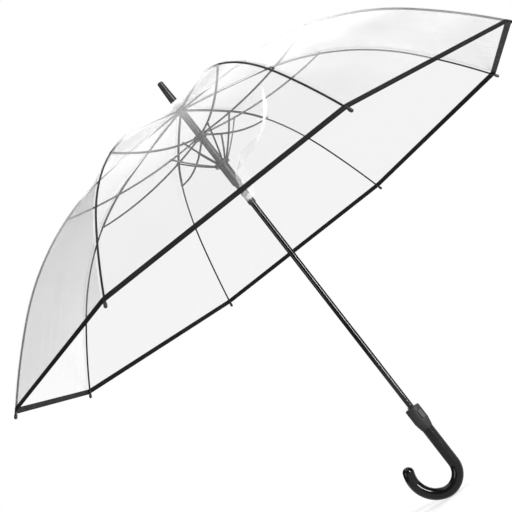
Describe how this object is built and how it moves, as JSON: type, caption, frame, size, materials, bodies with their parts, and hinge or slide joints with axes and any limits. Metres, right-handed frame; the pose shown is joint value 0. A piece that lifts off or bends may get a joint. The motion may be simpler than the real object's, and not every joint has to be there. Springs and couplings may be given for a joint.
{
  "type": "clear dome stick umbrella",
  "caption": "Clear dome umbrella on a straight shaft, with hooked grip, push button, two coupled sliders, folding ribs, stretchers and struts.",
  "frame": {"origin": "on the shaft's axis, in the middle of the straight grip", "axes": "+Z along the shaft towards the ferrule; the hook curls towards -X"},
  "size_m": [0.94, 0.9494, 0.8227],
  "materials": {
    "shaft_black": "gloss black lacquer",
    "rib_black": "satin black lacquer on folded steel",
    "rib_rod": "black glass-fibre rod",
    "black_plastic": "moulded black",
    "hub_plastic": "moulded satin black",
    "handle_gloss": "gloss black",
    "handle_matte": "fine matte black",
    "button_plastic": "satin dark grey",
    "pin_steel": "plain",
    "spring_steel": "plain",
    "hem_black": "black vinyl tape with stitching",
    "clear_film": "clear flexible film",
    "clear_strap": "clear flexible film, folded double",
    "clear_plastic": "clear moulded washer"
  },
  "bodies": {
    "shaft": {"shaft_tube": "shaft_black", "ferrule": "black_plastic", "ferrule_washer": "clear_plastic", "canopy_rosette": "clear_film", "canopy_film": "clear_film", "hem_tape": "hem_black", "tie_strap": "clear_strap", "top_notch": "hub_plastic", "notch_pins": "pin_steel", "main_spring": "spring_steel", "handle": "handle_gloss", "handle_collar": "handle_matte", "button_spring": "spring_steel"},
    "upper_slider": {"upper_slider": "hub_plastic", "slider_pins": "pin_steel"},
    "runner": {"runner": "hub_plastic", "runner_pins": "pin_steel", "spring_plug": "hub_plastic"},
    "push_button": {"push_button": "button_plastic", "latch_plate": "pin_steel"},
    "rib_inner_1": {"rib_inner_1": "rib_black"},
    "rib_outer_1": {"rib_outer_1": "rib_rod", "rib_tip_1": "black_plastic"},
    "stretcher_1": {"stretcher_1": "rib_black"},
    "strut_1": {"strut_1": "rib_black"},
    "rib_inner_2": {"rib_inner_2": "rib_black"},
    "rib_outer_2": {"rib_outer_2": "rib_rod", "rib_tip_2": "black_plastic"},
    "stretcher_2": {"stretcher_2": "rib_black"},
    "strut_2": {"strut_2": "rib_black"},
    "rib_inner_3": {"rib_inner_3": "rib_black"},
    "rib_outer_3": {"rib_outer_3": "rib_rod", "rib_tip_3": "black_plastic"},
    "stretcher_3": {"stretcher_3": "rib_black"},
    "strut_3": {"strut_3": "rib_black"},
    "rib_inner_4": {"rib_inner_4": "rib_black"},
    "rib_outer_4": {"rib_outer_4": "rib_rod", "rib_tip_4": "black_plastic"},
    "stretcher_4": {"stretcher_4": "rib_black"},
    "strut_4": {"strut_4": "rib_black"},
    "rib_inner_5": {"rib_inner_5": "rib_black"},
    "rib_outer_5": {"rib_outer_5": "rib_rod", "rib_tip_5": "black_plastic"},
    "stretcher_5": {"stretcher_5": "rib_black"},
    "strut_5": {"strut_5": "rib_black"},
    "rib_inner_6": {"rib_inner_6": "rib_black"},
    "rib_outer_6": {"rib_outer_6": "rib_rod", "rib_tip_6": "black_plastic"},
    "stretcher_6": {"stretcher_6": "rib_black"},
    "strut_6": {"strut_6": "rib_black"},
    "rib_inner_7": {"rib_inner_7": "rib_black"},
    "rib_outer_7": {"rib_outer_7": "rib_rod", "rib_tip_7": "black_plastic"},
    "stretcher_7": {"stretcher_7": "rib_black"},
    "strut_7": {"strut_7": "rib_black"},
    "rib_inner_8": {"rib_inner_8": "rib_black"},
    "rib_outer_8": {"rib_outer_8": "rib_rod", "rib_tip_8": "black_plastic"},
    "stretcher_8": {"stretcher_8": "rib_black"},
    "strut_8": {"strut_8": "rib_black"}
  },
  "joints": [
    {"name": "runner_slide", "type": "slide", "parent": "shaft", "child": "runner", "axis": [0, 0, 1], "range_m": [-0.41767, 0], "stiffness_N_per_m": 40, "springref_m": 0.25, "deforming": ["main_spring", "canopy_film", "hem_tape", "tie_strap", "canopy_rosette"]},
    {"name": "upper_slide", "type": "slide", "parent": "shaft", "child": "upper_slider", "axis": [0, 0, 1], "range_m": [-0.45661, 0.0005]},
    {"name": "button_press", "type": "slide", "parent": "shaft", "child": "push_button", "axis": [-0.5736, 0.8192, 0], "range_m": [0, 0.0015], "stiffness_N_per_m": 600, "springref_m": -0.002, "deforming": ["button_spring"]},
    {"name": "rib_fold_1", "type": "hinge", "parent": "shaft", "child": "rib_inner_1", "pos_m": [0.00739, 0.00306, 0.687], "axis": [-0.3827, 0.9239, 0], "range_deg": [-0.05, 77.31]},
    {"name": "rib_bend_1", "type": "hinge", "parent": "rib_inner_1", "child": "rib_outer_1", "pos_m": [0.24206, 0.10026, 0.63983], "axis": [-0.3827, 0.9239, 0], "range_deg": [-27.49, 0.05]},
    {"name": "stretcher_fold_1", "type": "hinge", "parent": "upper_slider", "child": "stretcher_1", "pos_m": [0.00924, 0.00383, 0.633], "axis": [-0.3827, 0.9239, 0], "range_deg": [-86.68, 0.05]},
    {"name": "strut_fold_1", "type": "hinge", "parent": "runner", "child": "strut_1", "pos_m": [0.01109, 0.00459, 0.576], "axis": [-0.3827, 0.9239, 0], "range_deg": [-41.13, 0.05]},
    {"name": "rib_fold_2", "type": "hinge", "parent": "shaft", "child": "rib_inner_2", "pos_m": [0.00306, 0.00739, 0.687], "axis": [-0.9239, 0.3827, 0], "range_deg": [-0.05, 77.31]},
    {"name": "rib_bend_2", "type": "hinge", "parent": "rib_inner_2", "child": "rib_outer_2", "pos_m": [0.10026, 0.24206, 0.63983], "axis": [-0.9239, 0.3827, 0], "range_deg": [-27.49, 0.05]},
    {"name": "stretcher_fold_2", "type": "hinge", "parent": "upper_slider", "child": "stretcher_2", "pos_m": [0.00383, 0.00924, 0.633], "axis": [-0.9239, 0.3827, 0], "range_deg": [-86.68, 0.05]},
    {"name": "strut_fold_2", "type": "hinge", "parent": "runner", "child": "strut_2", "pos_m": [0.00459, 0.01109, 0.576], "axis": [-0.9239, 0.3827, 0], "range_deg": [-41.13, 0.05]},
    {"name": "rib_fold_3", "type": "hinge", "parent": "shaft", "child": "rib_inner_3", "pos_m": [-0.00306, 0.00739, 0.687], "axis": [-0.9239, -0.3827, 0], "range_deg": [-0.05, 77.31]},
    {"name": "rib_bend_3", "type": "hinge", "parent": "rib_inner_3", "child": "rib_outer_3", "pos_m": [-0.10026, 0.24206, 0.63983], "axis": [-0.9239, -0.3827, 0], "range_deg": [-27.49, 0.05]},
    {"name": "stretcher_fold_3", "type": "hinge", "parent": "upper_slider", "child": "stretcher_3", "pos_m": [-0.00383, 0.00924, 0.633], "axis": [-0.9239, -0.3827, 0], "range_deg": [-86.68, 0.05]},
    {"name": "strut_fold_3", "type": "hinge", "parent": "runner", "child": "strut_3", "pos_m": [-0.00459, 0.01109, 0.576], "axis": [-0.9239, -0.3827, 0], "range_deg": [-41.13, 0.05]},
    {"name": "rib_fold_4", "type": "hinge", "parent": "shaft", "child": "rib_inner_4", "pos_m": [-0.00739, 0.00306, 0.687], "axis": [-0.3827, -0.9239, 0], "range_deg": [-0.05, 77.31]},
    {"name": "rib_bend_4", "type": "hinge", "parent": "rib_inner_4", "child": "rib_outer_4", "pos_m": [-0.24206, 0.10026, 0.63983], "axis": [-0.3827, -0.9239, 0], "range_deg": [-27.49, 0.05]},
    {"name": "stretcher_fold_4", "type": "hinge", "parent": "upper_slider", "child": "stretcher_4", "pos_m": [-0.00924, 0.00383, 0.633], "axis": [-0.3827, -0.9239, 0], "range_deg": [-86.68, 0.05]},
    {"name": "strut_fold_4", "type": "hinge", "parent": "runner", "child": "strut_4", "pos_m": [-0.01109, 0.00459, 0.576], "axis": [-0.3827, -0.9239, 0], "range_deg": [-41.13, 0.05]},
    {"name": "rib_fold_5", "type": "hinge", "parent": "shaft", "child": "rib_inner_5", "pos_m": [-0.00739, -0.00306, 0.687], "axis": [0.3827, -0.9239, 0], "range_deg": [-0.05, 77.31]},
    {"name": "rib_bend_5", "type": "hinge", "parent": "rib_inner_5", "child": "rib_outer_5", "pos_m": [-0.24206, -0.10026, 0.63983], "axis": [0.3827, -0.9239, 0], "range_deg": [-27.49, 0.05]},
    {"name": "stretcher_fold_5", "type": "hinge", "parent": "upper_slider", "child": "stretcher_5", "pos_m": [-0.00924, -0.00383, 0.633], "axis": [0.3827, -0.9239, 0], "range_deg": [-86.68, 0.05]},
    {"name": "strut_fold_5", "type": "hinge", "parent": "runner", "child": "strut_5", "pos_m": [-0.01109, -0.00459, 0.576], "axis": [0.3827, -0.9239, 0], "range_deg": [-41.13, 0.05]},
    {"name": "rib_fold_6", "type": "hinge", "parent": "shaft", "child": "rib_inner_6", "pos_m": [-0.00306, -0.00739, 0.687], "axis": [0.9239, -0.3827, 0], "range_deg": [-0.05, 77.31]},
    {"name": "rib_bend_6", "type": "hinge", "parent": "rib_inner_6", "child": "rib_outer_6", "pos_m": [-0.10026, -0.24206, 0.63983], "axis": [0.9239, -0.3827, 0], "range_deg": [-27.49, 0.05]},
    {"name": "stretcher_fold_6", "type": "hinge", "parent": "upper_slider", "child": "stretcher_6", "pos_m": [-0.00383, -0.00924, 0.633], "axis": [0.9239, -0.3827, 0], "range_deg": [-86.68, 0.05]},
    {"name": "strut_fold_6", "type": "hinge", "parent": "runner", "child": "strut_6", "pos_m": [-0.00459, -0.01109, 0.576], "axis": [0.9239, -0.3827, 0], "range_deg": [-41.13, 0.05]},
    {"name": "rib_fold_7", "type": "hinge", "parent": "shaft", "child": "rib_inner_7", "pos_m": [0.00306, -0.00739, 0.687], "axis": [0.9239, 0.3827, 0], "range_deg": [-0.05, 77.31]},
    {"name": "rib_bend_7", "type": "hinge", "parent": "rib_inner_7", "child": "rib_outer_7", "pos_m": [0.10026, -0.24206, 0.63983], "axis": [0.9239, 0.3827, 0], "range_deg": [-27.49, 0.05]},
    {"name": "stretcher_fold_7", "type": "hinge", "parent": "upper_slider", "child": "stretcher_7", "pos_m": [0.00383, -0.00924, 0.633], "axis": [0.9239, 0.3827, 0], "range_deg": [-86.68, 0.05]},
    {"name": "strut_fold_7", "type": "hinge", "parent": "runner", "child": "strut_7", "pos_m": [0.00459, -0.01109, 0.576], "axis": [0.9239, 0.3827, 0], "range_deg": [-41.13, 0.05]},
    {"name": "rib_fold_8", "type": "hinge", "parent": "shaft", "child": "rib_inner_8", "pos_m": [0.00739, -0.00306, 0.687], "axis": [0.3827, 0.9239, 0], "range_deg": [-0.05, 77.31]},
    {"name": "rib_bend_8", "type": "hinge", "parent": "rib_inner_8", "child": "rib_outer_8", "pos_m": [0.24206, -0.10026, 0.63983], "axis": [0.3827, 0.9239, 0], "range_deg": [-27.49, 0.05]},
    {"name": "stretcher_fold_8", "type": "hinge", "parent": "upper_slider", "child": "stretcher_8", "pos_m": [0.00924, -0.00383, 0.633], "axis": [0.3827, 0.9239, 0], "range_deg": [-86.68, 0.05]},
    {"name": "strut_fold_8", "type": "hinge", "parent": "runner", "child": "strut_8", "pos_m": [0.01109, -0.00459, 0.576], "axis": [0.3827, 0.9239, 0], "range_deg": [-41.13, 0.05]}
  ],
  "couplings": [
    {"joint": "upper_slide", "follows": "runner_slide", "ratio": 1.092},
    {"joint": "rib_fold_1", "follows": "runner_slide", "rad_per_m": -3.2285},
    {"joint": "rib_bend_1", "follows": "runner_slide", "rad_per_m": 1.1466},
    {"joint": "stretcher_fold_1", "follows": "runner_slide", "rad_per_m": 3.62},
    {"joint": "strut_fold_1", "follows": "runner_slide", "rad_per_m": 1.7166},
    {"joint": "rib_fold_2", "follows": "runner_slide", "rad_per_m": -3.2285},
    {"joint": "rib_bend_2", "follows": "runner_slide", "rad_per_m": 1.1466},
    {"joint": "stretcher_fold_2", "follows": "runner_slide", "rad_per_m": 3.62},
    {"joint": "strut_fold_2", "follows": "runner_slide", "rad_per_m": 1.7166},
    {"joint": "rib_fold_3", "follows": "runner_slide", "rad_per_m": -3.2285},
    {"joint": "rib_bend_3", "follows": "runner_slide", "rad_per_m": 1.1466},
    {"joint": "stretcher_fold_3", "follows": "runner_slide", "rad_per_m": 3.62},
    {"joint": "strut_fold_3", "follows": "runner_slide", "rad_per_m": 1.7166},
    {"joint": "rib_fold_4", "follows": "runner_slide", "rad_per_m": -3.2285},
    {"joint": "rib_bend_4", "follows": "runner_slide", "rad_per_m": 1.1466},
    {"joint": "stretcher_fold_4", "follows": "runner_slide", "rad_per_m": 3.62},
    {"joint": "strut_fold_4", "follows": "runner_slide", "rad_per_m": 1.7166},
    {"joint": "rib_fold_5", "follows": "runner_slide", "rad_per_m": -3.2285},
    {"joint": "rib_bend_5", "follows": "runner_slide", "rad_per_m": 1.1466},
    {"joint": "stretcher_fold_5", "follows": "runner_slide", "rad_per_m": 3.62},
    {"joint": "strut_fold_5", "follows": "runner_slide", "rad_per_m": 1.7166},
    {"joint": "rib_fold_6", "follows": "runner_slide", "rad_per_m": -3.2285},
    {"joint": "rib_bend_6", "follows": "runner_slide", "rad_per_m": 1.1466},
    {"joint": "stretcher_fold_6", "follows": "runner_slide", "rad_per_m": 3.62},
    {"joint": "strut_fold_6", "follows": "runner_slide", "rad_per_m": 1.7166},
    {"joint": "rib_fold_7", "follows": "runner_slide", "rad_per_m": -3.2285},
    {"joint": "rib_bend_7", "follows": "runner_slide", "rad_per_m": 1.1466},
    {"joint": "stretcher_fold_7", "follows": "runner_slide", "rad_per_m": 3.62},
    {"joint": "strut_fold_7", "follows": "runner_slide", "rad_per_m": 1.7166},
    {"joint": "rib_fold_8", "follows": "runner_slide", "rad_per_m": -3.2285},
    {"joint": "rib_bend_8", "follows": "runner_slide", "rad_per_m": 1.1466},
    {"joint": "stretcher_fold_8", "follows": "runner_slide", "rad_per_m": 3.62},
    {"joint": "strut_fold_8", "follows": "runner_slide", "rad_per_m": 1.7166}
  ]
}
